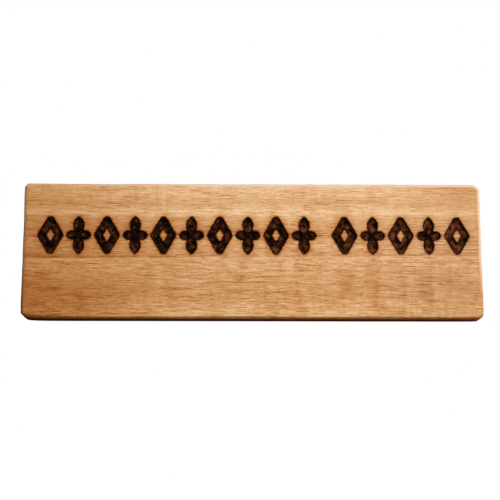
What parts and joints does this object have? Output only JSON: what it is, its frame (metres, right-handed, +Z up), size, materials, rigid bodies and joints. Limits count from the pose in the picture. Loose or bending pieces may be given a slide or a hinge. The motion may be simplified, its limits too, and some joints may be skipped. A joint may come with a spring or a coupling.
{
  "type": "wall plaque",
  "caption": "Long wooden wall plaque with sanded round edges, a burnt-in band of lozenge and flower motifs, swinging D-ring hangers and rubber wall bumpers.",
  "frame": {"origin": "middle of the flat strip on the board's bottom edge, half way along its length and half way through its thickness", "axes": "+X along the board to the right as seen from the front, +Z up, the carved front faces -Y and the wall is on the +Y side"},
  "size_m": [0.3, 0.0211, 0.0895],
  "materials": {
    "wood": "oiled, hand-sanded, with a burnt brown-black carving",
    "strap_zinc": "bright zinc-plated sheet steel",
    "ring_steel": "nickel-plated steel wire",
    "screw_zinc": "bright zinc-plated steel",
    "rubber": "matt black rubber",
    "adhesive": "acrylic adhesive film"
  },
  "bodies": {
    "plaque": {"board": "wood", "left_hanger_strap": "strap_zinc", "right_hanger_strap": "strap_zinc", "left_hanger_screw": "screw_zinc", "right_hanger_screw": "screw_zinc", "upper_left_bumper": "rubber", "upper_right_bumper": "rubber", "lower_left_bumper": "rubber", "lower_right_bumper": "rubber", "upper_left_adhesive": "adhesive", "upper_right_adhesive": "adhesive", "lower_left_adhesive": "adhesive", "lower_right_adhesive": "adhesive"},
    "left_ring": {"left_hanger_ring": "ring_steel"},
    "right_ring": {"right_hanger_ring": "ring_steel"}
  },
  "joints": [
    {"name": "left_ring_swing", "type": "hinge", "parent": "plaque", "child": "left_ring", "pos_m": [-0.1, 0.0099, 0.066], "axis": [1, 0, 0], "range_deg": [0, 175]},
    {"name": "right_ring_swing", "type": "hinge", "parent": "plaque", "child": "right_ring", "pos_m": [0.1, 0.0099, 0.066], "axis": [1, 0, 0], "range_deg": [0, 175]}
  ]
}
